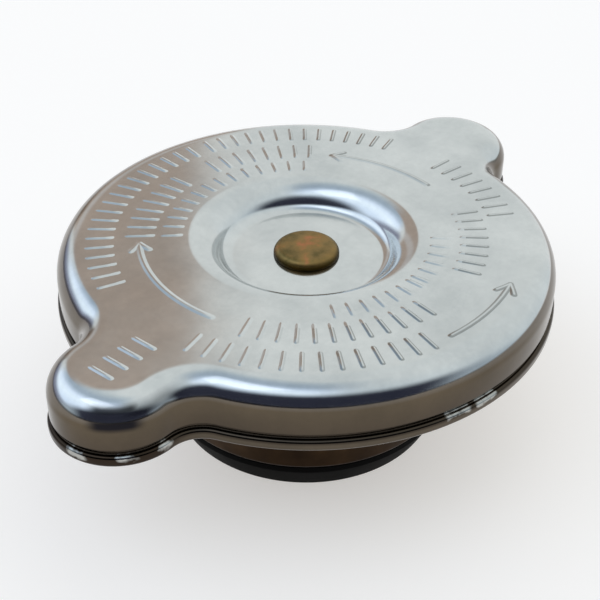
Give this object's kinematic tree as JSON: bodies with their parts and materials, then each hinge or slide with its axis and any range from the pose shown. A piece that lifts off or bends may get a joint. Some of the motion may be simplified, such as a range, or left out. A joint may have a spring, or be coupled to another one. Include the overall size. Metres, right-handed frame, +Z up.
{
  "type": "radiator pressure cap",
  "caption": "Round pressed-steel radiator pressure cap with two ears, a sprung pressure valve and a vacuum valve",
  "frame": {"origin": "middle of the pressure gasket's lower face, on the cap's own axis", "axes": "+Z up along the cap's axis, out of the filler neck; +X towards one ear; +Y across the ears"},
  "size_m": [0.0836, 0.0636, 0.0267],
  "materials": {
    "plated_steel": "bright plated pressing, lightly worn",
    "zinc_steel": "dull zinc plating",
    "spring_steel": "bare spring steel",
    "brass": "tarnished",
    "rubber": "matt black moulded rubber"
  },
  "bodies": {
    "cap": {"cover": "plated_steel", "locking_plate": "zinc_steel", "centre_rivet": "brass", "rivet_spacer": "zinc_steel", "rivet_washer": "zinc_steel"},
    "swivel": {"diaphragm": "spring_steel", "neck_gasket": "rubber", "spring_cage": "zinc_steel", "pressure_spring": "spring_steel"},
    "pressure_valve": {"valve_cup": "zinc_steel", "pressure_gasket": "rubber", "valve_seat": "brass", "seat_retainer": "spring_steel", "vacuum_spring": "spring_steel"},
    "vacuum_valve": {"vacuum_seal": "rubber", "vacuum_disc": "brass", "vacuum_stem": "brass", "vacuum_spring_cap": "brass"}
  },
  "joints": [
    {"name": "valve_swivel", "type": "hinge", "parent": "cap", "child": "swivel", "pos_m": [0, 0, 0.0196], "axis": [0, 0, 1], "continuous": true},
    {"name": "pressure_valve_lift", "type": "slide", "parent": "swivel", "child": "pressure_valve", "axis": [0, 0, 1], "range_m": [0, 0.003], "stiffness_N_per_m": 5000, "springref_m": -0.0005, "deforming": ["pressure_spring"]},
    {"name": "vacuum_valve_drop", "type": "slide", "parent": "pressure_valve", "child": "vacuum_valve", "axis": [0, 0, -1], "range_m": [0, 0.0015], "stiffness_N_per_m": 100, "springref_m": -0.001, "deforming": ["vacuum_spring"]}
  ]
}
